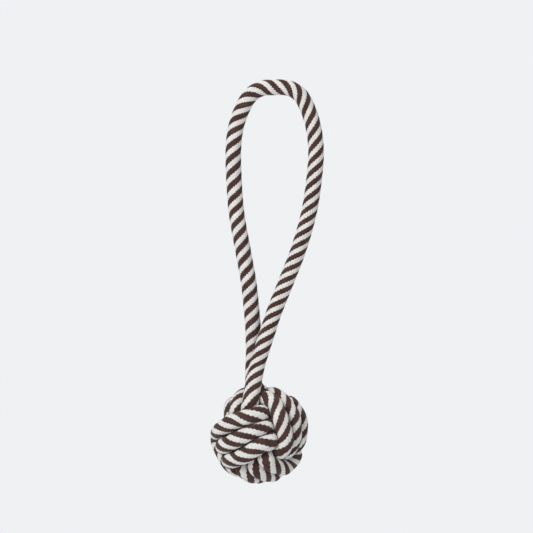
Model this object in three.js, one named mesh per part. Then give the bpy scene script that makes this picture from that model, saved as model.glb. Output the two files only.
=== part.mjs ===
// Braided rope dog toy: a rope loop handle that ends in a monkey's fist ball.
// Millimetres, +Z up. The toy hangs from a hand: the origin is where the top of
// the loop bears on the hand, the loop lies in the XZ plane and -Y faces the viewer.

import * as THREE from 'three';

// Driving dimensions of the rope: free in the handle, full where it shows on the ball, drawn thin inside it
const rope_diameter = 11.6;
const full_rope_diameter = 10.4;
const drawn_rope_diameter = 8.5;
const joint_gap = 0.3;

// Driving dimensions of the ball
const lane_gap = 1.25;
const core_clearance = 0.35;
const knot_yaw_deg = -118.6;
const knot_roll_deg = 19.5;

// Driving dimensions of the neck, as heights on the hanging toy
const loop_foot_z = -122;
const side_swing_z = -178;
const neck_foot_z = -207;
const neck_to_ball_centre = 46.7;
const ball_centre_x = -11.5;
const ball_centre_y = 0;

// Driving dimensions of the thread whippings on the two cut ends
const whipping_length = 6;
const whipping_wall = 0.5;
const whipping_clearance = 0.3;

// Free route of the rope: up the back leg, round the loop and down the front leg
const free_route = [
  [-12.4, 9.6, -207], [-14.3, 6.9, -200], [-15.5, 6.0, -192], [-15.7, 5.2, -184], [-15.9, 4.0, -175],
  [-17.2, 2.4, -159], [-19.2, 1.0, -140], [-23.6, 0.2, -115], [-28.4, 0, -87], [-30.2, 0, -63],
  [-30.7, 0, -42], [-29.2, 0, -26], [-24.6, 0, -11.4], [-18.0, 0, -0.2], [-10.0, 0, 4.9],
  [0, 0, 5.8], [10.2, 0, 5.3], [18.6, 0, 0.6], [25.0, 0, -10.8], [29.2, 0, -25.2],
  [30.9, 0, -42], [29.4, 0, -63], [25.7, 0, -87], [17.8, -0.2, -115], [8.2, -1.0, -140],
  [-0.9, -2.6, -163], [-5.4, -4.2, -177], [-8.4, -5.2, -186], [-11.2, -6.1, -195], [-13.2, -7.4, -202],
  [-14.6, -9.6, -207],
];

// Shares of a lane's pitch
const inner_reach_share = 2.025;
const outer_reach_share = 3.16;
const tucked_lane_share = 1.14;
const outer_spread_share = 0.18;
const turnover_handle_share = 1.08;
const lead_handle_share = 0.6;

// Angles round a band of turns: where the rope joins and leaves it, and steps from one lane to the next
const oval_power = 4.5;
const degrees_per_step = 15;
const turn_deg = 360;
const inner_middle_deg = 90;
const shift_span_deg = 76;
const upright_from_deg = 45;
const upright_shift_deg = 266;
const upright_to_deg = 930;
const cross_from_deg = 0;
const cross_shift_deg = 271;
const cross_to_deg = 930;
const girdle_from_deg = 180;
const girdle_shift_deg = 459;
const girdle_to_deg = 1125;
const tucked_from_deg = -45;
const tucked_to_deg = -75;

// Counts
const turnover_steps = 5;
const lead_steps = 3;
const winding_sides = 6;
const rope_sides = 12;
const loop_steps = 48;
const leg_steps = 6;
const points_per_step = 6;
const whipping_sides = 16;
const core_segments = 24;
const core_rings = 14;
const neighbour_diameters = 2.5;

// Derived sizes
const drawn_radius = drawn_rope_diameter / 2;
const full_radius = full_rope_diameter / 2;
const rope_radius = rope_diameter / 2;
const lane_pitch = drawn_rope_diameter + lane_gap;
const inner_reach = lane_pitch * inner_reach_share;
const outer_reach = lane_pitch * outer_reach_share;
const core_radius = inner_reach - drawn_radius - core_clearance;
const whipped_radius = drawn_radius - whipping_wall - whipping_clearance;
const turnover_handle = lane_pitch * turnover_handle_share;
const lead_handle = lane_pitch * lead_handle_share;

const rope_material = new THREE.MeshStandardMaterial({ color: 0xb5aca6, roughness: 0.95, metalness: 0 });
const thread_material = new THREE.MeshStandardMaterial({ color: 0xe2ddd2, roughness: 0.9, metalness: 0 });
const core_material = new THREE.MeshStandardMaterial({ color: 0xc9a878, roughness: 0.8, metalness: 0 });

// Free rope: one smooth curve, cut at chosen heights on either leg
const route_curve = new THREE.CatmullRomCurve3(free_route.map((p) => new THREE.Vector3(...p)), false, 'centripetal');
route_curve.arcLengthDivisions = 2000;
const route_length = route_curve.getLength();

// Share of the free route at which one leg passes a height
function shareAtHeight(height, leg) {
  const rises = leg === 'back';
  let low = rises ? 0 : 0.5;
  let high = low + 0.5;
  for (let i = 0; i < 40; i += 1) {
    const middle = (low + high) / 2;
    const above = route_curve.getPointAt(middle).z > height;
    if (above === rises) high = middle;
    else low = middle;
  }
  return low;
}

// A stretch of the free route as a curve of its own
class Stretch extends THREE.Curve {
  constructor(from, to) {
    super();
    this.from = from;
    this.to = to;
  }

  getPoint(t, target = new THREE.Vector3()) {
    return target.copy(route_curve.getPointAt(this.from + (this.to - this.from) * t));
  }
}

// A round section, as a shape to sweep
function ropeSection() {
  const shape = new THREE.Shape();
  for (let i = 0; i < rope_sides; i += 1) {
    const angle = (2 * Math.PI * i) / rope_sides;
    const corner = [rope_radius * Math.cos(angle), rope_radius * Math.sin(angle)];
    if (i === 0) shape.moveTo(...corner);
    else shape.lineTo(...corner);
  }
  shape.closePath();
  return shape;
}

// One stretch of free rope between two shares of the route, held off its neighbours by the joint gap
function ropeStretch(name, from, to, steps) {
  const half_gap = joint_gap / 2 / route_length;
  const start = from === 0 ? from : from + half_gap;
  const end = to === 1 ? to : to - half_gap;
  const geometry = new THREE.ExtrudeGeometry(ropeSection(), {
    steps, bevelEnabled: false, extrudePath: new Stretch(start, end),
  });
  const mesh = new THREE.Mesh(geometry, rope_material);
  mesh.name = name;
  return mesh;
}

// The ball's own axes: x out of the face at the viewer's left, y out of the right face, z out of the top
const ball_centre = new THREE.Vector3(ball_centre_x, ball_centre_y, neck_foot_z - neck_to_ball_centre);
const knot_turn = new THREE.Quaternion().setFromEuler(new THREE.Euler(
  THREE.MathUtils.degToRad(knot_roll_deg), 0, THREE.MathUtils.degToRad(knot_yaw_deg), 'ZYX'));
const knot_unturn = knot_turn.clone().invert();
const ball_x = new THREE.Vector3(1, 0, 0);
const ball_y = new THREE.Vector3(0, 1, 0);
const ball_z = new THREE.Vector3(0, 0, 1);

// Each band of turns is outside on one pair of the ball's faces and inside on another pair
const upright_band = {
  outer: ball_z, inner: ball_x, side: ball_y, start: 0, way: 1, shift: upright_shift_deg, first_lane: 1,
};
const cross_band = {
  outer: ball_x, inner: ball_y, side: ball_z, start: 180, way: -1, shift: cross_shift_deg, first_lane: -1,
};
const girdle_band = {
  outer: ball_y, inner: ball_z, side: ball_x, start: 0, way: 1, shift: girdle_shift_deg, first_lane: 1,
};

// Eases from 0 to 1 as t passes from 0 to 1
function ease(t) {
  const held = Math.min(1, Math.max(0, t));
  return held * held * (3 - 2 * held);
}

// Signed power, which squares off an oval
function squared(value) {
  return Math.sign(value) * Math.abs(value) ** (2 / oval_power);
}

// How full the rope is at an angle: 1 in the middle of an outer pass, 0 from the ball's edge inwards
function fullnessAt(degrees) {
  return Math.max(0, Math.cos(2 * THREE.MathUtils.degToRad(degrees)));
}

// One station of a turn: an oval in the plane of the outer and inner axes, on its lane of the side axis
function turnStation(band, degrees, lane) {
  const angle = THREE.MathUtils.degToRad(band.start + band.way * degrees);
  const fullness = fullnessAt(degrees);
  const at = new THREE.Vector3()
    .addScaledVector(band.outer, outer_reach * squared(Math.cos(angle)))
    .addScaledVector(band.inner, inner_reach * squared(Math.sin(angle)))
    .addScaledVector(band.side, lane_pitch * lane * (1 + outer_spread_share * fullness));
  return { at, radius: drawn_radius + (full_radius - drawn_radius) * fullness };
}

// The lane at an angle, counted in lanes from the middle one: one step in each of two turns
function laneAt(band, degrees) {
  const first = ease((degrees - band.shift) / shift_span_deg + 0.5);
  const second = ease((degrees - band.shift - turn_deg) / shift_span_deg + 0.5);
  return band.first_lane * (1 - first - second);
}

// The stations of a band's turns from one angle to another
function bandStations(band, from, to) {
  const stations = [];
  for (let degrees = from; degrees <= to; degrees += degrees_per_step) {
    stations.push(turnStation(band, degrees, laneAt(band, degrees)));
  }
  return stations;
}

// The direction from one station to another
function wayBetween(one, other) {
  return other.at.clone().sub(one.at).normalize();
}

// Joins two runs with a cubic curve that leaves and arrives along the given directions
function bridge(from, from_way, to, to_way, handle, steps) {
  const curve = new THREE.CubicBezierCurve3(
    from.at,
    from.at.clone().addScaledVector(from_way, handle),
    to.at.clone().addScaledVector(to_way, -handle),
    to.at,
  );
  return curve.getPoints(steps).map(
    (at, i) => ({ at, radius: from.radius + (to.radius - from.radius) * ease(i / steps) }));
}

// Turns the rope from the end of one band over the ball's edge into the first lane of the next
function turnover(last, way, next_first, next_way) {
  return bridge(last, way, next_first, next_way, turnover_handle, turnover_steps);
}

// Start of a run in the ball: straight on from the free rope, then curving into its lane
function leadIn(share, lane_stations) {
  const way = route_curve.getTangentAt(share).applyQuaternion(knot_unturn);
  if (share === 0) way.negate();
  const entry = route_curve.getPointAt(share).sub(ball_centre).applyQuaternion(knot_unturn);
  const start = { at: entry.addScaledVector(way, joint_gap), radius: rope_radius };
  const bend = { at: start.at.clone().addScaledVector(way, drawn_rope_diameter), radius: drawn_radius };
  const lane_way = wayBetween(lane_stations[0], lane_stations[1]);
  return [start, ...bridge(bend, way, lane_stations[0], lane_way, lead_handle, lead_steps)];
}

// Ends a run: straight on for one rope diameter, necked down where the whipping binds it
function whippedEnd(run, way) {
  const end = run.at(-1).at.clone().addScaledVector(way, drawn_rope_diameter);
  const throat = end.clone().addScaledVector(way, -whipping_length);
  const shoulder = throat.clone().addScaledVector(way, -whipping_clearance);
  run.push(
    { at: shoulder, radius: drawn_radius },
    { at: throat, radius: whipped_radius },
    { at: end, radius: whipped_radius },
  );
  return { throat, way };
}

// A closed tube through stations
function tubeGeometry(run) {
  const positions = [];
  const faces = [];
  const last = run.length - 1;
  const ways = run.map((_, i) => wayBetween(run[Math.max(0, i - 1)], run[Math.min(last, i + 1)]));
  const sideways = new THREE.Vector3(ways[0].y, ways[0].z, ways[0].x).cross(ways[0]).normalize();
  run.forEach(({ at, radius }, i) => {
    if (i > 0) sideways.applyQuaternion(new THREE.Quaternion().setFromUnitVectors(ways[i - 1], ways[i]));
    const upward = ways[i].clone().cross(sideways);
    for (let k = 0; k < winding_sides; k += 1) {
      const angle = (2 * Math.PI * k) / winding_sides;
      const corner = at.clone()
        .addScaledVector(sideways, radius * Math.cos(angle))
        .addScaledVector(upward, radius * Math.sin(angle));
      positions.push(corner.x, corner.y, corner.z);
    }
  });
  const ring = (i, k) => i * winding_sides + (k % winding_sides);
  for (let i = 0; i < last; i += 1) {
    for (let k = 0; k < winding_sides; k += 1) {
      faces.push(ring(i, k), ring(i, k + 1), ring(i + 1, k));
      faces.push(ring(i, k + 1), ring(i + 1, k + 1), ring(i + 1, k));
    }
  }
  for (let k = 1; k + 1 < winding_sides; k += 1) {
    faces.push(ring(0, 0), ring(0, k + 1), ring(0, k));
    faces.push(ring(last, 0), ring(last, k), ring(last, k + 1));
  }
  const geometry = new THREE.BufferGeometry();
  geometry.setAttribute('position', new THREE.Float32BufferAttribute(positions, 3));
  geometry.setIndex(faces);
  geometry.computeVertexNormals();
  return geometry;
}

// Points spaced closely along a run, each with its radius and its distance from the start
function spacedPoints(run) {
  const spaced = [];
  let start = 0;
  for (let i = 0; i + 1 < run.length; i += 1) {
    const here = run[i];
    const next = run[i + 1];
    const length = here.at.distanceTo(next.at);
    for (let k = 0; k < points_per_step; k += 1) {
      const share = k / points_per_step;
      spaced.push({
        at: here.at.clone().lerp(next.at, share),
        radius: here.radius + (next.radius - here.radius) * share,
        along: start + share * length,
      });
    }
    start += length;
  }
  return spaced;
}

// Least gap between stretches of one winding that are not neighbours along it
function leastGapToItself(run) {
  const spaced = spacedPoints(run);
  let least = Infinity;
  spaced.forEach((one, i) => {
    for (let j = i + 1; j < spaced.length; j += 1) {
      const other = spaced[j];
      if (other.along - one.along > neighbour_diameters * drawn_rope_diameter) {
        least = Math.min(least, one.at.distanceTo(other.at) - one.radius - other.radius);
      }
    }
  });
  return least;
}

const knot = new THREE.Group();
knot.position.copy(ball_centre);
knot.quaternion.copy(knot_turn);

// Adds one unbroken tube to the ball
function addRun(name, run) {
  const mesh = new THREE.Mesh(tubeGeometry(run), rope_material);
  mesh.name = name;
  knot.add(mesh);
}

// Adds a winding, and prints how close its turns come to each other
function addWinding(name, run) {
  addRun(name, run);
  console.log(`${name}: least gap to itself ${leastGapToItself(run).toFixed(2)} mm`);
}

// Adds a sleeve of thread round a whipped end
function addWhipping(name, { throat, way }) {
  const outer = drawn_radius;
  const inner = drawn_radius - whipping_wall;
  const profile = [[inner, 0], [outer, 0], [outer, whipping_length], [inner, whipping_length], [inner, 0]];
  const geometry = new THREE.LatheGeometry(profile.map((p) => new THREE.Vector2(...p)), whipping_sides);
  const mesh = new THREE.Mesh(geometry, thread_material);
  mesh.name = name;
  mesh.position.copy(throat);
  mesh.quaternion.setFromUnitVectors(ball_y, way);
  knot.add(mesh);
}

// A station moved on by the gap at which two stretches meet
function pastJoint(station, way) {
  return { at: station.at.clone().addScaledVector(way, joint_gap), radius: station.radius };
}

// The three bands' lanes, each up to where the rope leaves the band
const upright_lanes = bandStations(upright_band, upright_from_deg, upright_to_deg);
const cross_lanes = bandStations(cross_band, cross_from_deg, cross_to_deg);
const girdle_lanes = bandStations(girdle_band, girdle_from_deg, girdle_to_deg);
const inner_middle = inner_middle_deg / degrees_per_step;

// Upright winding: the front leg's rope, round the ball upright, then onto the back face
addWinding('upright_winding', [
  ...leadIn(1, upright_lanes),
  ...upright_lanes.slice(1, -1),
  ...turnover(upright_lanes.at(-1), ball_x.clone().negate(), cross_lanes[0], ball_y),
  ...cross_lanes.slice(1, inner_middle + 1),
]);

// Cross winding: from under the right face's strands, then over the left edge
addWinding('cross_winding', [
  pastJoint(cross_lanes[inner_middle], ball_x),
  ...cross_lanes.slice(inner_middle + 1, -1),
  ...turnover(cross_lanes.at(-1), ball_y.clone().negate(), girdle_lanes[0], ball_z.clone().negate()),
  ...girdle_lanes.slice(1, inner_middle + 1),
]);

// Girdle winding: from under the bottom strands to its cut end under the top strands
const girdle_run = [pastJoint(girdle_lanes[inner_middle], ball_y), ...girdle_lanes.slice(inner_middle + 1)];
const girdle_next = turnStation(girdle_band, girdle_to_deg + degrees_per_step, -girdle_band.first_lane);
const girdle_way = wayBetween(girdle_lanes.at(-1), girdle_next);
const girdle_end = whippedEnd(girdle_run, girdle_way);
addWinding('girdle_winding', girdle_run);
addWhipping('girdle_end_whipping', girdle_end);

// Tucked end: the back leg's rope, over the top and under the edge of the back strands
const tucked_lane = [tucked_from_deg, tucked_to_deg].map(
  (degrees) => turnStation(upright_band, degrees, tucked_lane_share));
const tucked_run = leadIn(0, tucked_lane);
const tucked_end = whippedEnd(tucked_run, wayBetween(tucked_lane[0], tucked_lane[1]));
addRun('tucked_end', tucked_run);
addWhipping('tucked_end_whipping', tucked_end);

const core = new THREE.Mesh(new THREE.SphereGeometry(core_radius, core_segments, core_rings), core_material);
core.name = 'core_ball';
knot.add(core);

// The loop that the hand holds, and the two legs down to the ball
const back_swing = shareAtHeight(side_swing_z, 'back');
const back_foot = shareAtHeight(loop_foot_z, 'back');
const front_foot = shareAtHeight(loop_foot_z, 'front');
const front_swing = shareAtHeight(side_swing_z, 'front');

const rope_toy = new THREE.Group();
rope_toy.add(
  ropeStretch('back_leg_lower', 0, back_swing, leg_steps),
  ropeStretch('back_leg_upper', back_swing, back_foot, leg_steps),
  ropeStretch('handle_loop', back_foot, front_foot, loop_steps),
  ropeStretch('front_leg_upper', front_foot, front_swing, leg_steps),
  ropeStretch('front_leg_lower', front_swing, 1, leg_steps),
  knot,
);

export default rope_toy;
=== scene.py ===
import math

import bpy
import numpy as np
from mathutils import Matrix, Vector


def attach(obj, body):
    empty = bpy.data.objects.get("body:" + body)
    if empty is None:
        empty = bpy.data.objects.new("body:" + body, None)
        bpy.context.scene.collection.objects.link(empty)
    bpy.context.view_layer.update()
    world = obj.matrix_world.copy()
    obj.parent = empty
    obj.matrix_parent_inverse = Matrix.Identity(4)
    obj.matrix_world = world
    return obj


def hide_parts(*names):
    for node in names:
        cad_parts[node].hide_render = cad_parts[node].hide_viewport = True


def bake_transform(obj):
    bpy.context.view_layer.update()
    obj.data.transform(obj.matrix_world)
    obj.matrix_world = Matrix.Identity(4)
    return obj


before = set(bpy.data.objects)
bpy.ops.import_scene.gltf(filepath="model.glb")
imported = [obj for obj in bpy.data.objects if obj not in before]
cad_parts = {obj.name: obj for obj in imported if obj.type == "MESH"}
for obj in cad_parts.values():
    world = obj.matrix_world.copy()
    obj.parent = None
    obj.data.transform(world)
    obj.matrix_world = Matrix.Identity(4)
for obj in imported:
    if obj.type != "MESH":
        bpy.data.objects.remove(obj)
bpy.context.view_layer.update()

# Sizes are in millimetres up to the moment a mesh is made, then in metres.
MM = 0.001

# The photograph's view, in metres: the camera's distance, the width of the frame and its middle (x, z)
CAMERA_AWAY = 2.6
FRAME_WIDTH = 0.397
FRAME_CENTRE = (-0.0060, -0.1276)
CAMERA_PLACE = (FRAME_CENTRE[0], -CAMERA_AWAY, FRAME_CENTRE[1])
SENSOR_WIDTH = 36

# The rope's thickness, its mesh's sides, its woven columns, rows and stripes, the unit of its length's map,
# and how high the stripes, columns and rows stand
ROPE_DIAMETER = 11.6
SIDES = 84
COLUMNS = 21
ROWS = 6
STRIPES = 3
LENGTH_UNIT = 100
STRIPE_BULGE = 0.26
COLUMN_RELIEF = 0.13
ROW_RELIEF = 0.10
DEEPEST_RELIEF = 0.25

# The power that shapes a ridge and the level it is measured from: a stripe's strand, and a column or row
STRAND_RIDGE = (0.6, 0.75)
WOVEN_RIDGE = (0.7, 0.7)
ROW_SKEW = 0.5

# The stripes' lead and lean, and where each changes: over a length at a foot, between shares of the free rope
HANDLE_LEAD = 28.6
KNOT_LEAD = 31.5
LEAD_CHANGE = 50
BACK_LEG_LEAN = -0.35
FRONT_LEG_LEAN = 0.6
KNOT_LEAN = 0.6
LEAN_CHANGE = (0.3, 0.7)

# In shares of a period of the stripes: brown's middle, how far brown reaches from it and its edge's softness
BROWN_PHASE = 0.25
BROWN_REACH = 0.265
EDGE_BLUR = 0.01

# The share of a column's width that a stripe's edge climbs within it, instead of stepping
STEP_SLANT = 0.45

# How far off a seen stripe is looked for, how long its shift holds, and over how many rings shifts blend
STRIPE_SEARCH = 14
SHIFT_HOLDS = 16
SHIFT_BLEND = 12

# Where strands press on each other: the gap left, the least gap left by relief, and how far a ring reaches
CONTACT_GAP = 0.22
LEAST_GAP = 0.04
FULLEST_RADIUS = 6.9
THINNEST_RADIUS = 2.5
LEAST_LIMIT = 0.8
LARGEST_LIMIT = 20
BEND_SHARE = 0.85

# Which rings limit each other: this far apart along the rope and this much nearer than two full radii reach
PASSING_APART = 20
REACH_SPARE = 0.5
CORE_REACH = 9
NEARLY_ACROSS = 0.05
NEARLY_STRAIGHT = 0.02

# How a pressed section fills out: how square it gets, and how its radii blend along the rope
PRESSED_SQUARENESS = 10.0
AREA_ROUNDS = 22
AREA_BLEND = 9
LIMIT_BLEND = 3
FOOT_CHANGE = 16

# Steps along the rope: rings of the mesh, rings while the knot is drawn tight, samples of a curve between two
# of its points, and rings that overlap at a foot
RING_STEP = 0.6
SLACK_STEP = 2.4
SPAN_SAMPLES = 24
OVERLAP = 12

# Drawing the knot tight: strand widths under and on the ball's surface, and the ball that the strands fill
INNER_WIDTH = 10.3
OUTER_WIDTH = 11.9
SURFACE_DEPTH = (21, 29)
PRESS = 0.95
CORE_CLEARANCE = 4.6
SHELL = 30.4
SHELL_CENTRE = np.array([-10.9, 0.0, -252.1])

# The shares of an overlap or a distance that one round takes away, the rounds, and the largest move in one
APART_SHARE = 0.15
CORE_SHARE = 0.3
SHELL_SHARE = 0.25
SEEN_SHARE = 0.2
HOME_SHARE = (0.003, 0.35)
STIFFNESS = 0.22
TENSION = 0.08
LAST_TENSION = 0.16
LAST_SLOWDOWN = 0.5
LARGEST_MOVE = 0.5
TIGHTEN_ROUNDS = 500
SMOOTH_ROUNDS = 25
ROUNDS_PER_SEARCH = 10

# Which rings push each other: near in space, apart along the rope and not both on one leg
PAIR_REACH = 15.0
PAIR_APART = 22
LEG_LENGTH = 26
LEGS_BELOW = -170

# Where the run round the ball and the free legs count as starting along the rope: far off, so that they push
HEAD_STARTS = 1000
LEGS_START = 5000.0

# Which rings keep to their first place: up to a length from a foot, let go over the next, and at a whipping
TAIL_HOLD = (12, 20)
HEAD_HOLD = (20, 26)
STILL_LENGTH = 9
STILL_PAST_WHIPPING = 3
WHIPPED_CHANGE = 8
WHIPPED_SQUEEZE = 0.2

# Which rings a seen point pulls: no deeper than this, within these degrees of the band, and the rings beside
SEEN_DEPTH = 14
SEEN_SPAN = 55
SEEN_RINGS = 5
SEEN_SPREAD = 2.5

# The thread whipping bound round each cut end, and the rings between which an end's direction is taken
END_RINGS = 5
WHIPPING_LENGTH = 6.0
WHIPPED_RADIUS = 3.5
WHIPPING_RADIUS = 4.05
THREAD_PITCH = 0.62
THREAD_BULGE = 0.22
THREAD_RINGS = 8
RIM_DEPTH = 0.1
NECK_CHANGE = 2.5

# The free rope between its feet, as in the CAD model: up the back leg, round the loop, down the front leg
FREE_ROUTE = [
    (-15.5, 6.0, -192), (-15.7, 5.2, -184), (-15.9, 4.0, -175), (-17.2, 2.4, -159), (-19.2, 1.0, -140),
    (-23.6, 0.2, -115), (-28.4, 0, -87), (-30.2, 0, -63), (-30.7, 0, -42), (-29.2, 0, -26),
    (-24.6, 0, -11.4), (-18.0, 0, -0.2), (-10.0, 0, 4.9), (0, 0, 5.8), (10.2, 0, 5.3),
    (18.6, 0, 0.6), (25.0, 0, -10.8), (29.2, 0, -25.2), (30.9, 0, -42), (29.4, 0, -63),
    (25.7, 0, -87), (17.8, -0.2, -115), (8.2, -1.0, -140), (-0.9, -2.6, -163), (-5.4, -4.2, -177),
    (-8.4, -5.2, -186), (-11.2, -6.1, -195), (-13.2, -7.4, -202),
]

# The feet of the legs: the back one turns to the right and the rear, the front one runs down beside the top
BACK_FOOT = [
    (-15.9, 7.2, -200), (-16.0, 9.0, -207), (-15.7, 10.8, -214), (-13.2, 12.6, -220.5), (-8.0, 14.6, -225.5),
]
FRONT_FOOT = [(-14.2, -9.4, -207), (-15.8, -13.0, -214.5), (-16.9, -16.6, -222), (-17.6, -19.4, -229.5)]

# Heights where the rope's pieces meet, and a pair of heights given with each piece to bend
LOOP_CUT = -162.0
NECK_CUT = -192.5
TWIST_BEND = (-95.0, -160.0)
SIDE_BEND = (-164.0, -191.0)
FRONT_BEND = (-194.0, -215.0)

# The ball: its own x comes out of the face at the viewer's left, y out of the right face, z out of the top
BALL_CENTRE = np.array([-11.5, 0.0, -253.7])
KNOT_YAW = -118.6
KNOT_ROLL = 19.5
CORE_RADIUS = 15.1
LANE_PITCH = 9.75
INNER_REACH = 2.025 * LANE_PITCH
OUTER_REACH = 3.16 * LANE_PITCH
OUTER_SPREAD = 0.25
OVAL_POWER = 4.5
LANE_CHANGE = 76
STATION_STEP = 15
BRIDGE_HANDLE = 10.5
BRIDGE_STEPS = 5

# The degrees that each band runs between, and those by which the two cut ends are aimed
UPRIGHT_RUN = (75, 930)
CROSS_RUN = (0, 930)
GIRDLE_RUN = (180, 1125)
GIRDLE_AIM = 1140
TUCKED_AIM = (-45, -75)
TUCKED_LANE = 1.14
CUT_END_LENGTH = 8.5

# Larger than any distance or radius here, and smaller than any that counts
FAR = 99.0
TINY = 1e-6

# A direction that the rope neither starts nor ends along, from which sideways directions are taken
SEED_WAY = (0.3, 0.5, 0.81)

# Each band: outside axis, inside axis, side axis, first angle, way round, where it changes lane, first lane
X, Y, Z = np.eye(3)
UPRIGHT = (Z, X, Y, 0, 1, 266, 1)
CROSS = (X, Y, Z, 180, -1, 271, -1)
GIRDLE = (Y, Z, X, 0, 1, 459, 1)

# Hidden places, as a band and degrees, where one band's mesh ends and the next one's starts
SEAMS = [(CROSS, 90), (GIRDLE, 270)]

# Where the strands that the photograph shows run: the band, how many degrees round it they are seen at, and
# points (x, z) along their middle, some with a depth y as well
SEEN = [
    (CROSS, 900, [
        (-41.9, -252.0), (-38.4, -247.2), (-31.7, -243.0), (-24.2, -239.7), (-17.5, -237.5), (-13.8, -236.6),
        (-9.3, -235.8, -19), (-5.6, -236.9, -15),
    ]),
    (CROSS, 540, [
        (-35.6, -260.8), (-32.0, -258.0), (-25.7, -254.9), (-18.3, -250.9), (-10.8, -247.0),
        (-6.3, -245.0, -22), (-2.5, -244.5, -18),
    ]),
    (CROSS, 180, [
        (-30.2, -272.6), (-25.7, -270.2), (-18.3, -266.2), (-10.8, -261.2), (-8.0, -259.4), (-4.1, -257.2),
    ]),
    (GIRDLE, 360, [
        (-4.3, -221.8, -11), (-3.0, -227.0, -17), (0.3, -232.2, -21.5), (2.5, -236.9, -24),
        (4.3, -241.0, -26), (5.9, -245.5), (7.0, -250.7), (7.2, -256.5), (6.4, -261.0),
    ]),
    (GIRDLE, 720, [
        (-0.9, -220.6), (4.8, -225.0), (8.7, -229.3), (11.5, -233.2), (13.0, -237.8), (13.9, -242.8),
        (13.5, -250.1), (10.2, -257.9), (7.4, -261.7),
    ]),
    (GIRDLE, 1080, [
        (11.8, -230.5), (16.9, -236.1), (19.7, -246.2), (17.8, -252.6), (14.6, -255.6), (11.4, -258.2, -6),
    ]),
    (UPRIGHT, 180, [(12.8, -272.5), (14.5, -267.4), (15.6, -262.4)]),
    (UPRIGHT, 540, [(-1.5, -274.7), (0.0, -279.9)]),
    (UPRIGHT, 900, [(-13.8, -283.1), (-9.6, -284.1)]),
    (UPRIGHT, 360, [(-27.9, -232.9), (-26.0, -227.3), (-24.2, -222.9), (-20.6, -221.6)]),
    (UPRIGHT, 720, [(-29.4, -237.2), (-28.5, -232.0), (-27.6, -229.2)]),
    (GIRDLE, 236, [(-37.8, -265.6), (-34.5, -272.4), (-25.8, -279.2)]),
]

# Points (x, z) in the middle of brown stripes, read from the photograph
BACK_LEG_STRIPES = [(-17.2, -158.5), (-22.6, -121.7), (-29.3, -74.8), (-30.5, -35.1)]
FRONT_LEG_STRIPES = [(30.8, -45.7), (26.1, -83.9), (12.4, -128.5), (-3.9, -172.6), (-14.7, -209.3)]
KNOT_STRIPES = [
    (UPRIGHT, 360, (-27.9, -230.8)), (CROSS, 180, (-17.2, -265.6)), (CROSS, 540, (-22.9, -253.4)),
    (CROSS, 900, (-23.1, -239.3)), (GIRDLE, 360, (5.4, -240.1)), (GIRDLE, 720, (15.0, -242.5)),
]

# Colours
BROWNS = ((0.058, 0.027, 0.021, 1), (0.086, 0.043, 0.034, 1))
BROWN_FLECKS = (0.135, 0.08, 0.064, 1)
CREAMS = ((0.77, 0.745, 0.71, 1), (0.84, 0.82, 0.79, 1))
CREAM_FLECKS = (0.66, 0.63, 0.59, 1)
# Black mixed in as painted shade in the weave's valleys and beside the stripes' edges, and its largest share
PAINTED_CREASE_SHADE = (0, 0, 0, 1)
PAINTED_SHADE_SHARE = 0.55
THREADS = ((0.60, 0.57, 0.50, 1), (0.80, 0.77, 0.70, 1))
WOODS = ((0.36, 0.22, 0.11, 1), (0.56, 0.38, 0.21, 1))

# Each pattern's scale, with the detail and roughness of a noise or the distortion of waves
EDGE_NOISE = (750.0,)
PATCH_NOISE = (160.0, 4.0)
FINE_NOISE = (2600.0,)
FIBRE_NOISE = (3.0, 5.0, 0.7)
FIBRE_STRETCH = (60.0, 60.0, 1.0)
THREAD_WAVES = (700.0, 0.6)
WOOD_WAVES = (90.0, 4.0)

# The values between which each ramp climbs, and what it gives at them where that isn't 0 and 1
EDGE_WOBBLE = (0.3, 0.7, -0.026, 0.026)
PATCHES = (0.35, 0.65)
FLECKS_ON_BROWN = (0.55, 0.75, 0.0, 0.45)
FLECKS_ON_CREAM = (0.55, 0.8, 0.0, 0.4)
# The next two ramps give painted shade: in the weave's valleys and beside each stripe's edge
VALLEY_SHADE = (0.15, 0.6, 0.80, 1.0)
EDGE_SHADE = (0.0, 0.05, 0.72, 1.0)
FLOOR_SHADE = (0.25, 0.9, 0.55, 0.0)

# How deep bumps look, in metres, with their strength, and how much fibres count beside the weave
WEAVE_BUMP = (0.00022, 0.55)
THREAD_BUMP = (0.0003,)
FIBRE_SHARE = 0.35

# The backdrop, the sky's light and the floor
BACKDROP = (0.863, 0.880, 0.896, 1)
SKYLIGHT = (0.97, 0.98, 1.0, 1)
SKY_STRENGTH = 0.36
FLOOR_PAINT = (0.86, 0.88, 0.90, 1)

# The stage, in metres: a wide round floor below the toy, and lamps as name, place, size and power
FLOOR_RADIUS = 30
FLOOR_HEIGHT = -0.42
FLOOR_SIDES = 96
LAMP_TARGET = Vector((-0.01, 0, -0.15))
LAMPS = [
    ("key", (-1.1, -1.4, 1.0), 0.9, 25),
    ("fill", (1.4, -1.2, 0.1), 1.4, 3),
    ("top", (0.1, 0.3, 1.5), 1.2, 8),
]


# Lines in space


def unit(v):
    return v / np.linalg.norm(v, axis=-1, keepdims=True)


def ease(t):
    t = np.clip(t, 0, 1)
    return t * t * (3 - 2 * t)


def lengths(line):
    return np.concatenate([[0], np.cumsum(np.linalg.norm(np.diff(line, axis=0), axis=1))])


def nearest(line, place):
    return int(np.linalg.norm(line - place, axis=1).argmin())


def evenly(line, step):
    along = lengths(line)
    at = np.linspace(0, along[-1], max(2, round(along[-1] / step) + 1))
    return np.stack([np.interp(at, along, line[:, k]) for k in range(3)], axis=1)


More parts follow.
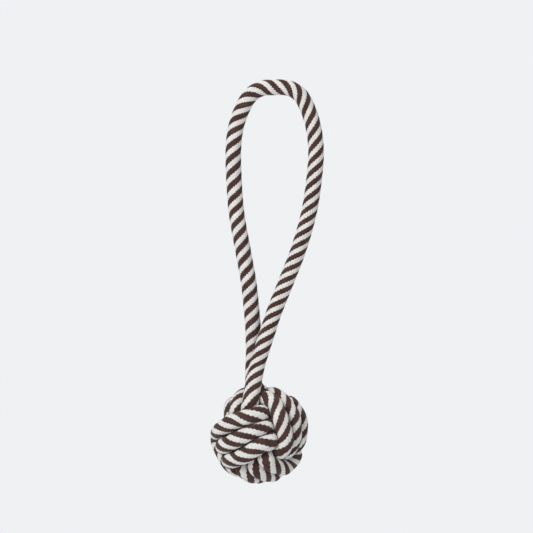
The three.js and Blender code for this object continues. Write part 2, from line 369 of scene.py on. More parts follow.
def through(points, step):
    """A centripetal Catmull-Rom curve through points, resampled evenly."""
    p = np.asarray(points, float)
    p = np.vstack([2 * p[0] - p[1], p, 2 * p[-1] - p[-2]])
    d = np.maximum(np.linalg.norm(np.diff(p, axis=0), axis=1) ** 0.5, 1e-4)
    t = np.linspace(0, 1, SPAN_SAMPLES, endpoint=False)[:, None]
    out = []
    for i in range(1, len(p) - 2):
        a, b, c = d[i - 1], d[i], d[i + 1]
        m0 = ((p[i] - p[i - 1]) / a - (p[i + 1] - p[i - 1]) / (a + b) + (p[i + 1] - p[i]) / b) * b
        m1 = ((p[i + 1] - p[i]) / b - (p[i + 2] - p[i]) / (b + c) + (p[i + 2] - p[i + 1]) / c) * b
        c2 = -3 * p[i] + 3 * p[i + 1] - 2 * m0 - m1
        c3 = 2 * p[i] - 2 * p[i + 1] + m0 + m1
        out.append(p[i] + t * (m0 + t * (c2 + t * c3)))
    return evenly(np.vstack(out + [p[-2:-1]]), step)


def bridge(a, a_way, b, b_way):
    """Points of a cubic curve from a to b, both ends included."""
    t = np.linspace(0, 1, BRIDGE_STEPS + 1)[:, None]
    a1, b1 = a + a_way * BRIDGE_HANDLE, b - b_way * BRIDGE_HANDLE
    return list((1 - t) ** 3 * a + 3 * (1 - t) ** 2 * t * a1 + 3 * (1 - t) * t * t * b1 + t ** 3 * b)


def smooth_rows(values, width):
    """Averages each column of values over rows within the width, nearer rows counting more."""
    kernel = np.hanning(2 * width + 3)[1:-1]
    kernel /= kernel.sum()
    padded = np.pad(values, ((width, width), (0, 0)), mode="edge")
    return np.stack([np.convolve(padded[:, k], kernel, mode="valid") for k in range(values.shape[1])], axis=1)


# The ball's turns, before they are drawn tight


def rotation():
    yaw, roll = math.radians(KNOT_YAW), math.radians(KNOT_ROLL)
    about_z = np.array([[math.cos(yaw), -math.sin(yaw), 0], [math.sin(yaw), math.cos(yaw), 0], [0, 0, 1]])
    about_x = np.array([[1, 0, 0], [0, math.cos(roll), -math.sin(roll)], [0, math.sin(roll), math.cos(roll)]])
    return about_z @ about_x


TURN = rotation()


def in_ball(point):
    return TURN.T @ (np.asarray(point, float) - BALL_CENTRE)


def squared(v):
    return math.copysign(abs(v) ** (2 / OVAL_POWER), v)


def station(band, degrees, lane):
    """A point of a band in the ball's own frame."""
    outer, inner, side, start, way, _, _ = band
    angle = math.radians(start + way * degrees)
    full = max(0, math.cos(2 * math.radians(degrees)))
    return (
        outer * OUTER_REACH * squared(math.cos(angle))
        + inner * INNER_REACH * squared(math.sin(angle))
        + side * LANE_PITCH * lane * (1 + OUTER_SPREAD * full)
    )


def lane_at(band, degrees):
    """The lane from 1 to -1 that a band is in. It changes lane once in each of its first two turns."""
    change, first = band[5], band[6]
    second = (degrees - change - 360) / LANE_CHANGE + 0.5
    return first * (1 - ease((degrees - change) / LANE_CHANGE + 0.5) - ease(second))


def stations(band, start, end):
    return [station(band, d, lane_at(band, d)) for d in range(start, end + 1, STATION_STEP)]


def placed(band, degrees):
    return TURN @ station(band, degrees, lane_at(band, degrees)) + BALL_CENTRE


def ball_lines():
    """The tucked end and the long run round the ball, each starting after the foot of its leg."""
    upright, cross = stations(UPRIGHT, *UPRIGHT_RUN), stations(CROSS, *CROSS_RUN)
    girdle = stations(GIRDLE, *GIRDLE_RUN)
    run = [in_ball(p) for p in FRONT_FOOT[1:]] + upright[:-1]
    run += bridge(upright[-1], -X, cross[0], Y) + cross[1:-1]
    run += bridge(cross[-1], -Y, girdle[0], -Z) + girdle[1:]
    run.append(girdle[-1] + unit(station(GIRDLE, GIRDLE_AIM, -1) - girdle[-1]) * CUT_END_LENGTH)
    first, second = [station(UPRIGHT, d, TUCKED_LANE) for d in TUCKED_AIM]
    tucked = [in_ball(p) for p in BACK_FOOT[2:]] + [first, first + unit(second - first) * CUT_END_LENGTH]
    return [np.array(line) @ TURN.T + BALL_CENTRE for line in (tucked, run)]


# Drawing the knot tight


def strand_width(line):
    """Strands under the surface are pressed thinner than those on it."""
    under, on = SURFACE_DEPTH
    depth = np.linalg.norm(line - BALL_CENTRE, axis=1)
    return INNER_WIDTH + (OUTER_WIDTH - INNER_WIDTH) * ease((depth - under) / (on - under))


def close_pairs(line, along, legs):
    """Pairs of rings near each other in space and not along the rope."""
    gap = np.linalg.norm(line[:, None, :] - line[None, :, :], axis=2)
    apart = np.abs(along[:, None] - along[None, :]) > PAIR_APART
    same_leg = (legs[:, None] == legs[None, :]) & (legs[:, None] > 0)
    return np.nonzero(np.triu((gap < PAIR_REACH) & apart & ~same_leg))


def push_apart(line, width, a, b):
    """Moves that part rings a from rings b where their strands overlap."""
    gap = line[a] - line[b]
    far = np.linalg.norm(gap, axis=1)
    wanted = PRESS * (width[a] + width[b]) / 2
    push = gap * (np.maximum(0, wanted - far) / far * APART_SHARE)[:, None]
    n = len(line)
    return np.stack([np.bincount(a, push[:, c], n) - np.bincount(b, push[:, c], n) for c in range(3)], axis=1)


def off_core(line):
    """Moves that lift rings off the core."""
    out = line - BALL_CENTRE
    depth = np.linalg.norm(out, axis=1, keepdims=True)
    return out / depth * CORE_SHARE * np.maximum(0, CORE_RADIUS + CORE_CLEARANCE - depth)


def past_shell(line, loose):
    """How far loose rings have to come in from outside the ball that the strands fill."""
    out = line - SHELL_CENTRE
    depth = np.linalg.norm(out, axis=1, keepdims=True)
    return out / depth * SHELL_SHARE * loose * np.maximum(0, depth - SHELL)


def straighten(part, tension):
    """Moves of a stiff strand under tension."""
    bend = np.zeros_like(part)
    bend[1:-1] = (part[:-2] + part[2:]) / 2 - part[1:-1]
    stiff = bend.copy()
    stiff[1:-1] -= (bend[:-2] + bend[2:]) / 2
    return STIFFNESS * stiff + tension * bend


def draw_to_seen(part, seen):
    """Moves that carry each seen strand's middle over its points in the photograph's view."""
    move = np.zeros_like(part)
    for first, last, points in seen:
        for x, z, *depth in points:
            off = np.stack([x - part[first:last, 0], z - part[first:last, 2]], axis=1)
            k = int(np.where(part[first:last, 1] < SEEN_DEPTH, np.linalg.norm(off, axis=1), FAR).argmin())
            rings = np.arange(max(first, first + k - SEEN_RINGS), min(last, first + k + SEEN_RINGS + 1))
            share = SEEN_SHARE * np.exp(-((rings - first - k) / SEEN_SPREAD) ** 2)[:, None]
            back = depth[0] - part[first + k, 1] if depth else 0
            move[rings] += share * np.array([off[k, 0], back, off[k, 1]])
    return move


def leg_numbers(tail_s, head_s, low):
    """1 for rings of the back leg, 2 for the front leg's and 0 for the ball's."""
    back = np.concatenate([tail_s < LEG_LENGTH, np.zeros(len(head_s), bool), low[:, 1] > 0])
    front = np.concatenate([np.zeros(len(tail_s), bool), head_s < LEG_LENGTH, low[:, 1] <= 0])
    return back + 2 * front


def hold(tail_s, head_s, low, whipped):
    """How firmly each ring keeps to its first place: at the feet, in the whippings and on the free legs."""
    at_tail = 1 - ease((tail_s - TAIL_HOLD[0]) / TAIL_HOLD[1])
    at_head = 1 - ease((head_s - HEAD_HOLD[0]) / HEAD_HOLD[1])
    return np.maximum(np.concatenate([at_tail, at_head, np.ones(len(low))]), whipped)[:, None]


def tighten(tail, free, head, seen):
    """Draws both ends of the rope tight round the core, against each other, themselves and the free legs."""
    low = free[free[:, 2] < LEGS_BELOW]
    line = home = np.vstack([tail, head, low])
    n, m = len(tail), len(tail) + len(head)
    tail_s, head_s = lengths(tail), lengths(head)
    along = np.concatenate([-tail_s, HEAD_STARTS + head_s, np.full(len(low), LEGS_START)])
    legs = leg_numbers(tail_s, head_s, low)
    to_end = np.concatenate([tail_s[-1] - tail_s, head_s[-1] - head_s, np.full(len(low), FAR)])
    whipped = 1 - ease((to_end - WHIPPING_LENGTH) / WHIPPED_CHANGE)
    held = hold(tail_s, head_s, low, whipped)
    loose = 1 - held
    homing = HOME_SHARE[0] + HOME_SHARE[1] * held
    movable = np.concatenate([tail_s > STILL_LENGTH, head_s > STILL_LENGTH, np.zeros(len(low), bool)])
    movable = (movable & (to_end > WHIPPING_LENGTH + STILL_PAST_WHIPPING))[:, None]
    for k in range(TIGHTEN_ROUNDS):
        if k % ROUNDS_PER_SEARCH == 0:
            a, b = close_pairs(line, along, legs)
        smoothing = k > TIGHTEN_ROUNDS - SMOOTH_ROUNDS
        move = push_apart(line, strand_width(line) * (1 - WHIPPED_SQUEEZE * whipped), a, b)
        move += off_core(line)
        move -= past_shell(line, loose)
        if smoothing:
            move *= LAST_SLOWDOWN
        for first, last in ((0, n), (n, m)):
            move[first:last] += straighten(line[first:last], LAST_TENSION if smoothing else TENSION)
        if not smoothing:
            move[n:m] += draw_to_seen(line[n:m], seen)
        move += homing * (home - line)
        size = np.linalg.norm(move, axis=1, keepdims=True)
        line = line + np.where(movable, move / np.maximum(1, size / LARGEST_MOVE), 0)
    return line[:n], line[n:m]


def whole_line():
    """The rope's line of rings, the free rope, the places of the seams and those of the seen stripes."""
    free = through(BACK_FOOT[1::-1] + FREE_ROUTE + FRONT_FOOT[:1], RING_STEP)
    tucked, run = ball_lines()
    tail = through(np.vstack([free[OVERLAP:0:-OVERLAP // 2], free[:1], tucked]), SLACK_STEP)
    head = through(np.vstack([free[-OVERLAP - 1:-1:OVERLAP // 2], free[-1:], run]), SLACK_STEP)
    seams = [nearest(head, placed(band, d)) for band, d in SEAMS]
    stripes = [nearest(head, placed(band, d)) for band, d, _ in KNOT_STRIPES]
    seen = []
    for band, d, points in SEEN:
        first, last = [nearest(head, placed(band, at)) for at in (d - SEEN_SPAN, d + SEEN_SPAN)]
        seen.append((first, last, points))
    tail, head = tighten(tail, free[::round(SLACK_STEP / RING_STEP)], head, seen)
    fine_tail, fine_head = through(tail, RING_STEP), through(head, RING_STEP)
    line = np.vstack([fine_tail[::-1], free[OVERLAP + 1:-OVERLAP - 1], fine_head])
    return evenly(line, RING_STEP), free, head[seams], head[stripes]


# The rope's rings and the way its stripes turn


def in_view(points):
    """Where points show in the photograph, as (x, z) in the plane through the origin."""
    middle = np.array(FRAME_CENTRE) / MM
    return middle + (points[..., ::2] - middle) * (CAMERA_AWAY / (CAMERA_AWAY + points[..., 1:2] * MM))


class Rope:
    """The whole rope: fine rings from the tucked end to the girdle's end."""

    def __init__(self, line, free, stripe_places):
        self.line = line
        self.s = lengths(line)
        self.feet = nearest(line, free[0]), nearest(line, free[-1])
        self.handle = tuple(self.s[foot] for foot in self.feet)
        self.tangent = unit(np.gradient(line, axis=0))
        self.side, self.up = self.frames()
        self.around = 2 * np.pi * np.arange(SIDES + 1) / SIDES
        cos, sin = np.cos(self.around[:-1])[None, :, None], np.sin(self.around[:-1])[None, :, None]
        self.ways = self.side[:, None, :] * cos + self.up[:, None, :] * sin
        a, b = self.handle
        half = LEAD_CHANGE / 2
        self.inside = ease(1 - (self.s - a + half) / LEAD_CHANGE) + ease((self.s - b + half) / LEAD_CHANGE)
        self.lay = self.laid()
        self.lean = self.leaning()
        self.turns = (self.lay + self.shift(stripe_places))[:, None] - self.lean

    def frames(self):
        """Two directions across the rope at each ring, carried along without twist."""
        side = np.zeros_like(self.line)
        v = np.cross(self.tangent[0], SEED_WAY)
        for i, t in enumerate(self.tangent):
            v = v - t * (v @ t)
            v /= np.linalg.norm(v)
            side[i] = v
        return side, np.cross(self.tangent, side)

    def laid(self):
        """Turns of the stripes up to each ring, with a longer lead in the ball's drawn-out rope."""
        per_mm = (1 - self.inside) / HANDLE_LEAD + self.inside / KNOT_LEAD
        return np.concatenate([[0], np.cumsum((per_mm[1:] + per_mm[:-1]) / 2 * np.diff(self.s))])

    def leaning(self):
        """Turns by which the stripes lean over: on the knot's outside, and on the front of each leg."""
        a, b = self.handle
        low, high = LEAN_CHANGE
        front_share = ease(((self.s - a) / (b - a) - low) / (high - low))
        leg = BACK_LEG_LEAN + (FRONT_LEG_LEAN - BACK_LEG_LEAN) * front_share
        amount = leg * (1 - self.inside) + KNOT_LEAN * self.inside
        away = unit(self.line - BALL_CENTRE)
        way = away * self.inside[:, None] - Y * (1 - self.inside[:, None])
        towards = np.arctan2((way * self.up).sum(axis=1), (way * self.side).sum(axis=1))
        return amount[:, None] * np.sin(self.around[None, :] - towards[:, None]) / (2 * np.pi * STRIPES)

    def needed_shift(self, point, first, last):
        """The ring and the turn that lay a brown stripe's middle on the skin that shows at a point."""
        rings = slice(*np.searchsorted(self.s, (first, last)))
        skin = self.line[rings, None] + self.ways[rings] * ROPE_DIAMETER / 2
        facing = (self.ways[rings] * (np.array(CAMERA_PLACE) / MM - skin)).sum(axis=-1) > 0
        off = np.where(facing, np.linalg.norm(in_view(skin) - point, axis=-1), FAR)
        ring, k = np.unravel_index(int(off.argmin()), off.shape)
        ring += rings.start
        return ring, k / SIDES - BROWN_PHASE / STRIPES - self.lay[ring] + self.lean[ring, k]

    def shift(self, stripe_places):
        """Small turns that lay a brown stripe over each point read from the photograph, eased in between."""
        foot_a, foot_b = self.handle
        top = self.s[int(self.line[:, 2].argmax())]
        stretches = [(point, foot_a, top, (0,)) for point in BACK_LEG_STRIPES]
        stretches += [(point, top, foot_b + STRIPE_SEARCH, (0,)) for point in FRONT_LEG_STRIPES]
        for (_, _, point), place in zip(KNOT_STRIPES, stripe_places):
            at = self.s[nearest(self.line, place)]
            stretches.append((point, at - STRIPE_SEARCH, at + STRIPE_SEARCH, (-SHIFT_HOLDS, SHIFT_HOLDS)))
        marks, turn = [], 0.0
        for point, first, last, holds in stretches:
            ring, needed = self.needed_shift(point, first, last)
            turn += (needed - turn + 0.5 / STRIPES) % (1 / STRIPES) - 0.5 / STRIPES
            marks += [(self.s[ring] + hold, turn) for hold in holds]
        places, shifts = np.array(marks).T
        return smooth_rows(np.interp(self.s, places, shifts)[:, None], SHIFT_BLEND)[:, 0]


# The rope's section, ring by ring


def neighbour_limits(rope):
    """How far each ring may reach in each direction before it is halfway to a neighbour."""
    limit = np.full(rope.ways.shape[:2], FAR)
    coarse = np.unique(np.searchsorted(rope.s, np.arange(0, rope.s[-1], 2 * RING_STEP)))
    others, others_s = rope.line[coarse], rope.s[coarse]
    reach = 2 * FULLEST_RADIUS + REACH_SPARE
    for i, centre in enumerate(rope.line):
        to = others - centre
        far = np.einsum("ij,ij->i", to, to)
        near = (far < reach * reach) & (np.abs(others_s - rope.s[i]) > PASSING_APART)
        if near.any():
            dot = rope.ways[i] @ to[near].T
            bound = np.where(dot > TINY, far[near][None, :] / (2 * np.maximum(dot, TINY)), FAR)
            limit[i] = bound.min(axis=1)
    return limit


def core_limits(rope):
    """How far each ring may reach before it touches the core."""
    inward = BALL_CENTRE - rope.line
    depth = np.linalg.norm(inward, axis=1)[:, None]
    dot = np.einsum("ijk,ik->ij", rope.ways, inward / depth)
    near = (depth < CORE_RADIUS + CORE_REACH) & (dot > NEARLY_ACROSS)
    return np.where(near, (depth - CORE_RADIUS) / np.maximum(dot, NEARLY_ACROSS), FAR)


def bend_limits(rope):
    """How far each ring may reach on the inside of a bend."""
    bend = np.gradient(rope.tangent, axis=0) / np.gradient(rope.s)[:, None]
    toward = np.einsum("ijk,ik->ij", rope.ways, bend)
    return np.where(toward > NEARLY_STRAIGHT, BEND_SHARE / np.maximum(toward, NEARLY_STRAIGHT), FAR)


def fill_section(rope, limit):
    """Radii that give each ring the rope's full area, so that a squeezed ring bulges where it is free."""
    a, b = rope.handle
    half = FOOT_CHANGE / 2
    in_knot = ease((a + half - rope.s) / FOOT_CHANGE) + ease((rope.s - b + half) / FOOT_CHANGE)
    wanted = (ROPE_DIAMETER * (1 - in_knot) + strand_width(rope.line) * in_knot) / 2
    to_end = np.minimum(rope.s, rope.s[-1] - rope.s)
    necked = 1 - ease((to_end - WHIPPING_LENGTH) / NECK_CHANGE)
    wanted = wanted * (1 - necked) + WHIPPED_RADIUS * necked
    low, high = np.full(len(wanted), THINNEST_RADIUS), np.full(len(wanted), FULLEST_RADIUS)
    limit = np.maximum(limit - CONTACT_GAP, LEAST_LIMIT)

    def radii(size):
        p = PRESSED_SQUARENESS
        return (size[:, None] ** -p + limit ** -p) ** (-1 / p)

    for _ in range(AREA_ROUNDS):
        size = (low + high) / 2
        small = (radii(size) ** 2).mean(axis=1) < wanted ** 2
        low, high = np.where(small, size, low), np.where(small, high, size)
    return radii(smooth_rows(((low + high) / 2)[:, None], AREA_BLEND)[:, 0])


def ridge(part, power, level):
    """A rounded ridge over part from 0 to 1, about its own mean level."""
    return np.sin(np.pi * part) ** power - level


def relief(rope):
    """Height of the stripes' strands, the woven columns and the rows."""
    x = np.arange(SIDES)[None, :] / SIDES * COLUMNS
    column = np.floor(x)
    part = x - column
    stepped = (column + 0.5 + STEP_SLANT * (part - 0.5)) / COLUMNS
    phase = (STRIPES * (stepped - rope.turns[:, :-1])) % 1
    strands = STRIPE_BULGE * ridge((2 * phase) % 1, *STRAND_RIDGE)
    columns = COLUMN_RELIEF * ridge(part, *WOVEN_RIDGE)
    rows = ROW_RELIEF * ridge((ROWS * phase + ROW_SKEW * part) % 1, *WOVEN_RIDGE)
    return strands + columns + rows


def skin_of(rope):
    """The rope's surface: pressed where it meets itself or the core, with its relief where that has room."""
    limit = np.minimum(np.minimum(neighbour_limits(rope), core_limits(rope)), bend_limits(rope))
    limit = smooth_rows(limit.clip(0, LARGEST_LIMIT), LIMIT_BLEND)
    radii = fill_section(rope, limit)
    radii = np.minimum(radii + relief(rope), np.maximum(limit - LEAST_GAP, radii - DEEPEST_RELIEF))
    return rope.line[:, None, :] + rope.ways * radii[:, :, None]


# Meshes


def add_object(name, mesh):
    obj = bpy.data.objects.new(name, mesh)
    bpy.context.scene.collection.objects.link(obj)
    return obj


def corner_values(values):
    """A ring's values (rings by SIDES + 1) at the four corners of each quad."""
    return np.stack([values[:-1, :-1], values[:-1, 1:], values[1:, 1:], values[1:, :-1]], axis=-1)


def rope_piece(name, rope, skin, lo, hi):
    """A closed tube of rope from ring lo up to ring hi, with its lay and its length in UV maps."""
    n = hi - lo
    points = np.vstack([skin[lo:hi].reshape(-1, 3), rope.line[lo], rope.line[hi - 1]]) * MM
    ring = np.arange(n * SIDES).reshape(n, SIDES)
    after = np.roll(ring, -1, axis=1)
    quads = np.stack([ring[:-1], after[:-1], after[1:], ring[1:]], axis=-1).reshape(-1, 4).tolist()
    caps = [(n * SIDES, b, a) for a, b in zip(ring[0].tolist(), after[0].tolist())]
    caps += [(n * SIDES + 1, a, b) for a, b in zip(ring[-1].tolist(), after[-1].tolist())]
    mesh = bpy.data.meshes.new(name)
    mesh.from_pydata(points.tolist(), [], quads + caps)
    mesh.polygons.foreach_set("use_smooth", [True] * len(quads) + [False] * len(caps))

    around = np.broadcast_to(np.arange(SIDES + 1) / SIDES, (n, SIDES + 1))
    along = np.broadcast_to(rope.s[lo:hi, None] / LENGTH_UNIT, (n, SIDES + 1))
    k = np.arange(SIDES)
    orders = (k + 0.5, k + 1, k), (k + 0.5, k, k + 1)
    cap_around = np.vstack([np.stack(order, axis=-1) for order in orders]) / SIDES
    for title, values in (("lay", rope.turns[lo:hi]), ("length", along)):
        tube = np.stack([corner_values(around), corner_values(values)], axis=-1).reshape(-1, 2)
        cap_values = np.repeat(values[[0, -1], 0], 3 * SIDES)
        ends = np.stack([cap_around.ravel(), cap_values], axis=-1)
        mesh.uv_layers.new(name=title).data.foreach_set("uv", np.vstack([tube, ends]).ravel())
    mesh.validate()
    return add_object(name, mesh)


def whipping(name, end, way):
    """Thread wound round the rope's cut end: a sleeve whose ribs climb one pitch in each turn."""
    side = unit(np.cross(way, SEED_WAY))
    up = np.cross(way, side)
    angles = 2 * np.pi * np.arange(SIDES) / SIDES
    across = side * np.cos(angles)[:, None] + up * np.sin(angles)[:, None]
    along = np.arange(0, WHIPPING_LENGTH + 0.01, THREAD_PITCH / THREAD_RINGS)
    wound = along[:, None] / THREAD_PITCH - np.arange(SIDES)[None, :] / SIDES
    rim = np.full((1, SIDES), WHIPPED_RADIUS - RIM_DEPTH)
    radii = np.vstack([rim, WHIPPING_RADIUS + THREAD_BULGE * np.abs(np.sin(np.pi * wound)), rim])
    along = np.concatenate([along[:1], along, along[-1:]])
    surface = (end - way * (WHIPPING_LENGTH - along)[:, None])[:, None, :] + across[None] * radii[:, :, None]
    ring = np.arange(len(along) * SIDES).reshape(-1, SIDES)
    corners = [np.roll(ring, steps, axis=(0, 1)) for steps in ((0, 0), (0, -1), (-1, -1), (-1, 0))]
    quads = np.stack(corners, axis=-1).reshape(-1, 4)
    mesh = bpy.data.meshes.new(name)
    mesh.from_pydata((surface.reshape(-1, 3) * MM).tolist(), [], quads.tolist())
    mesh.polygons.foreach_set("use_smooth", [True] * len(mesh.polygons))
    return add_object(name, mesh)


# Materials


class Nodes:
    """Short names for making shader nodes."""

    def __init__(self, owner):
        owner.use_nodes = True
        self.tree = owner.node_tree
        self.tree.nodes.clear()

    def add(self, kind, **settings):
        node = self.tree.nodes.new(kind)
        for key, value in settings.items():
            setattr(node, key, value)
        return node

    def put(self, value, socket):
        if isinstance(value, (int, float, tuple)):
            socket.default_value = value
        else:
            self.tree.links.new(value, socket)

    def fill(self, node, **inputs):
        """Fills a node's inputs, whose titles are written with _ for a space."""
        for title, value in inputs.items():
            self.put(value, node.inputs[title.replace("_", " ")])
        return node

    def maths(self, operation, *values):
        node = self.add("ShaderNodeMath", operation=operation)
        for k, value in enumerate(values):
            self.put(value, node.inputs[k])
        return node.outputs[0]

    def mix(self, factor, a, b):
        node = self.add("ShaderNodeMix", data_type="RGBA")
        self.put(factor, node.inputs["Factor"])
        self.put(a, node.inputs[6])
        self.put(b, node.inputs[7])
        return node.outputs[2]

    def ramp(self, value, low, high, to_low=0.0, to_high=1.0, kind="SMOOTHSTEP"):
        node = self.add("ShaderNodeMapRange", interpolation_type=kind)
        self.fill(node, Value=value, From_Min=low, From_Max=high, To_Min=to_low, To_Max=to_high)
        return node.outputs[0]

    def noise(self, vector, scale, detail=3.0, rough=0.6):
        node = self.add("ShaderNodeTexNoise")
        self.fill(node, Vector=vector, Scale=scale, Detail=detail, Roughness=rough)
        return node.outputs["Fac"]

    def waves(self, scale, distortion, **settings):
        node = self.add("ShaderNodeTexWave", **settings)
        self.fill(node, Vector=self.object_place(), Scale=scale, Distortion=distortion)
        return node.outputs["Fac"]

    def bump(self, height, distance, strength=1.0):
        node = self.fill(self.add("ShaderNodeBump"), Strength=strength, Distance=distance, Height=height)
        return node.outputs[0]

    def object_place(self):
        return self.add("ShaderNodeTexCoord").outputs["Object"]

    def background(self, colour, strength=1.0):
        return self.fill(self.add("ShaderNodeBackground"), Color=colour, Strength=strength).outputs[0]

    def mix_shaders(self, factor, a, b):
        node = self.add("ShaderNodeMixShader")
        for k, value in enumerate((factor, a, b)):
            self.put(value, node.inputs[k])
        return node.outputs[0]

    def finish(self, shader, kind="ShaderNodeOutputMaterial"):
        self.put(shader, self.add(kind).inputs[0])


def cotton(n, colour, normal):
    """A matt, slightly fuzzy cotton surface."""
    shader = n.add("ShaderNodeBsdfPrincipled")
    n.fill(shader, Roughness=0.95, Specular_IOR_Level=0.2, Sheen_Weight=0.12, Sheen_Roughness=0.5)
    n.fill(shader, Base_Color=colour, Normal=normal)
    n.finish(shader.outputs[0])


def woven(n):
    """The stripes' phase and the height of the woven columns and rows, from the lay's UV map."""
    place = n.add("ShaderNodeSeparateXYZ")
    n.put(n.add("ShaderNodeUVMap", uv_map="lay").outputs[0], place.inputs[0])
    x = n.maths("MULTIPLY", place.outputs[0], COLUMNS)
    column = n.maths("FLOOR", x)
    part = n.maths("SUBTRACT", x, column)
    stepped = n.maths("ADD", column, n.maths("MULTIPLY_ADD", part, STEP_SLANT, 0.5 - STEP_SLANT / 2))
    turned = n.maths("SUBTRACT", n.maths("DIVIDE", stepped, COLUMNS), place.outputs[1])
    phase = n.maths("MULTIPLY", turned, STRIPES)
    row = n.maths("FRACT", n.maths("MULTIPLY_ADD", phase, ROWS, n.maths("MULTIPLY", part, ROW_SKEW)))
    column_ridge = n.maths("SINE", n.maths("MULTIPLY", part, math.pi))
    row_ridge = n.maths("SINE", n.maths("MULTIPLY", row, math.pi))
    height = n.maths("ADD", n.maths("MULTIPLY", column_ridge, 0.5), n.maths("MULTIPLY", row_ridge, 0.5))
    return phase, height


def striped(n, phase, height, coarse, fine):
    """Brown and cream stripes with ragged edges, with painted shade between the woven columns and rows and
    beside each edge.
    """
    wobble = n.ramp(n.noise(n.object_place(), *EDGE_NOISE), *EDGE_WOBBLE, "LINEAR")
    centred = n.maths("ADD", n.maths("ADD", phase, wobble), 0.5 - BROWN_PHASE)
    off_brown = n.maths("ABSOLUTE", n.maths("SUBTRACT", n.maths("FRACT", centred), 0.5))
    patches = n.ramp(coarse, *PATCHES)
    brown = n.mix(n.ramp(fine, *FLECKS_ON_BROWN), n.mix(patches, *BROWNS), BROWN_FLECKS)
    cream = n.mix(n.ramp(fine, *FLECKS_ON_CREAM), n.mix(patches, *CREAMS), CREAM_FLECKS)
    colour = n.mix(n.ramp(off_brown, BROWN_REACH - EDGE_BLUR, BROWN_REACH + EDGE_BLUR), brown, cream)
    # Painted shade: the colour is mixed towards black where the weave is low and beside each stripe's edge
    painted_valley_shade = n.ramp(height, *VALLEY_SHADE)
    edge = n.ramp(n.maths("ABSOLUTE", n.maths("SUBTRACT", off_brown, BROWN_REACH)), *EDGE_SHADE)
    return n.mix(n.maths("MULTIPLY", painted_valley_shade, edge), n.mix(PAINTED_SHADE_SHARE, colour, PAINTED_CREASE_SHADE), colour)


def rope_material():
    material = bpy.data.materials.new("braided_cotton")
    n = Nodes(material)
    phase, height = woven(n)
    coarse = n.noise(n.object_place(), *PATCH_NOISE)
    fine = n.noise(n.object_place(), *FINE_NOISE)
    length = n.add("ShaderNodeUVMap", uv_map="length").outputs[0]
    along = n.fill(n.add("ShaderNodeMapping"), Vector=length, Scale=FIBRE_STRETCH)
    fibres = n.noise(along.outputs[0], *FIBRE_NOISE)
    bumps = n.maths("ADD", height, n.maths("MULTIPLY", n.maths("ADD", fibres, fine), FIBRE_SHARE))
    cotton(n, striped(n, phase, height, coarse, fine), n.bump(bumps, *WEAVE_BUMP))
    return material


def thread_material():
    material = bpy.data.materials.new("whipping_thread")
    n = Nodes(material)
    fibres = n.waves(*THREAD_WAVES, wave_type="BANDS", bands_direction="DIAGONAL")
    cotton(n, n.mix(fibres, *THREADS), n.bump(fibres, *THREAD_BUMP))
    return material


def wood_material():
    material = bpy.data.materials.new("turned_wood")
    n = Nodes(material)
    grain = n.waves(*WOOD_WAVES, wave_type="RINGS")
    shader = n.add("ShaderNodeBsdfPrincipled")
    n.fill(shader, Roughness=0.7, Base_Color=n.mix(grain, *WOODS))
    n.finish(shader.outputs[0])
    return material


# Camera, light and floor


def make_camera():
    data = bpy.data.cameras.new("camera")
    data.sensor_width = SENSOR_WIDTH
    data.lens = SENSOR_WIDTH * CAMERA_AWAY / FRAME_WIDTH
    data.clip_start, data.clip_end = 0.1, 100
    camera = add_object("camera", data)
    camera.location = CAMERA_PLACE
    camera.rotation_euler = (math.radians(90), 0, 0)
    bpy.context.scene.camera = camera


def make_lamp(name, place, size, power):
    data = bpy.data.lights.new(name, "AREA")
    data.shape = "DISK"
    data.size, data.energy = size, power
    lamp = add_object(name, data)
    lamp.location = place
    lamp.rotation_euler = (LAMP_TARGET - Vector(place)).to_track_quat("-Z", "Y").to_euler()


def make_world():
    """The camera sees a plain backdrop, and the toy is lit by a weaker sky."""
    world = bpy.data.worlds.new("studio")
    bpy.context.scene.world = world
    n = Nodes(world)
    seen = n.add("ShaderNodeLightPath").outputs["Is Camera Ray"]
    sky, backdrop = n.background(SKYLIGHT, SKY_STRENGTH), n.background(BACKDROP)
    n.finish(n.mix_shaders(seen, sky, backdrop), "ShaderNodeOutputWorld")


def floor_material():
    """Paint that takes shadows below the toy and fades into the backdrop farther out."""
    material = bpy.data.materials.new("pale_floor")
    n = Nodes(material)
    flat = n.add("ShaderNodeVectorMath", operation="MULTIPLY")
    n.put(n.object_place(), flat.inputs[0])
    n.put((1, 1, 0), flat.inputs[1])
    away = n.add("ShaderNodeVectorMath", operation="LENGTH")
    n.put(flat.outputs[0], away.inputs[0])
    near = n.ramp(away.outputs["Value"], *FLOOR_SHADE)
    unseen = n.maths("SUBTRACT", 1.0, n.add("ShaderNodeLightPath").outputs["Is Camera Ray"])
    paint = n.fill(n.add("ShaderNodeBsdfDiffuse"), Color=FLOOR_PAINT)
    glow = n.fill(n.add("ShaderNodeEmission"), Color=BACKDROP)
    n.finish(n.mix_shaders(n.maths("MAXIMUM", near, unseen), glow.outputs[0], paint.outputs[0]))
    return material


def make_floor():
    mesh = bpy.data.meshes.new("floor")
    angles = np.linspace(0, 2 * math.pi, FLOOR_SIDES, endpoint=False)
    rim = [(FLOOR_RADIUS * math.cos(a), FLOOR_RADIUS * math.sin(a), FLOOR_HEIGHT) for a in angles]
    mesh.from_pydata(rim, [], [list(range(FLOOR_SIDES))])
    mesh.materials.append(floor_material())
    floor = add_object("floor", mesh)


# Making the toy


make_camera()
line, free, seam_places, stripe_places = whole_line()
rope = Rope(line, free, stripe_places)
skin = skin_of(rope)


def first_below(height, step):
    """The first ring below a height, going from the top of the loop down the back (-1) or front (1) leg."""
    i = int(line[:, 2].argmax())
    while line[i, 2] > height:
        i += step
    return i


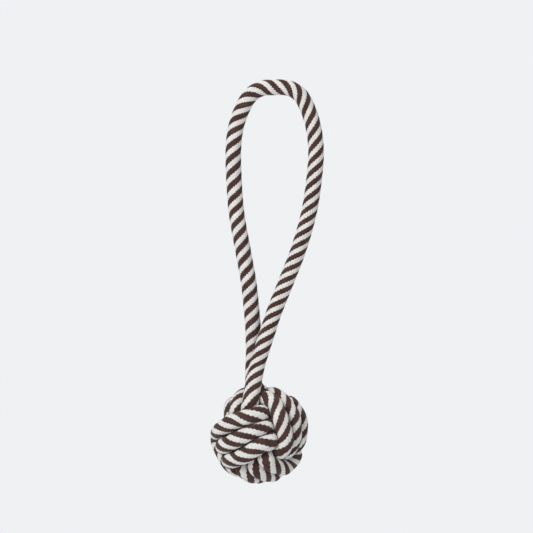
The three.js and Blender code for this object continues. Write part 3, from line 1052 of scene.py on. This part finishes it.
back_loop, back_neck = first_below(LOOP_CUT, -1), first_below(NECK_CUT, -1)
front_loop, front_neck = first_below(LOOP_CUT, 1), first_below(NECK_CUT, 1)
front_foot = rope.feet[1]
seam_1, seam_2 = [front_foot + nearest(line[front_foot:], place) for place in seam_places]

# The first ring of each piece of rope and the ring after its last
spans = {
    "rope_loop": (back_loop, front_loop + 1),
    "neck_back": (back_neck, back_loop + 1),
    "neck_front": (front_loop, front_neck + 1),
    "knot_tucked_end": (0, back_neck + 1),
    "knot_upright": (front_neck, seam_1 + 1),
    "knot_cross": (seam_1, seam_2 + 1),
    "knot_girdle": (seam_2, len(line)),
}
pieces = {name: rope_piece(name, rope, skin, *span) for name, span in spans.items()}
cotton_rope = rope_material()
for piece in pieces.values():
    piece.data.materials.append(cotton_rope)


def bend(piece, a, b, heights):
    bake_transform(piece)


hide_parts("handle_loop", "back_leg_upper", "front_leg_upper")
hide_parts("back_leg_lower")
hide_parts("front_leg_lower")
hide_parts("tucked_end")
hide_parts("upright_winding")
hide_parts("cross_winding")
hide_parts("girdle_winding")
bend(pieces["rope_loop"], "handle", "upper_neck", TWIST_BEND)
bend(pieces["neck_back"], "upper_neck", "lower_neck", SIDE_BEND)
bend(pieces["neck_front"], "upper_neck", "lower_neck", SIDE_BEND)
bend(pieces["knot_tucked_end"], "lower_neck", "ball", FRONT_BEND)
bend(pieces["knot_upright"], "lower_neck", "ball", FRONT_BEND)
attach(pieces["knot_cross"], "ball")
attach(pieces["knot_girdle"], "ball")

thread = thread_material()
for name, node, end, way in (
    ("whipping_tucked", "tucked_end_whipping", line[0], unit(line[0] - line[END_RINGS])),
    ("whipping_girdle", "girdle_end_whipping", line[-1], unit(line[-1] - line[-1 - END_RINGS])),
):
    bound = whipping(name, end, way)
    bound.data.materials.append(thread)
    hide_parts(node)
    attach(bound, "ball")
for material_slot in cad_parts["core_ball"].material_slots:
    material_slot.material = wood_material()

make_world()
make_floor()
for settings in LAMPS:
    make_lamp(*settings)
bpy.context.scene.view_settings.view_transform = "Standard"
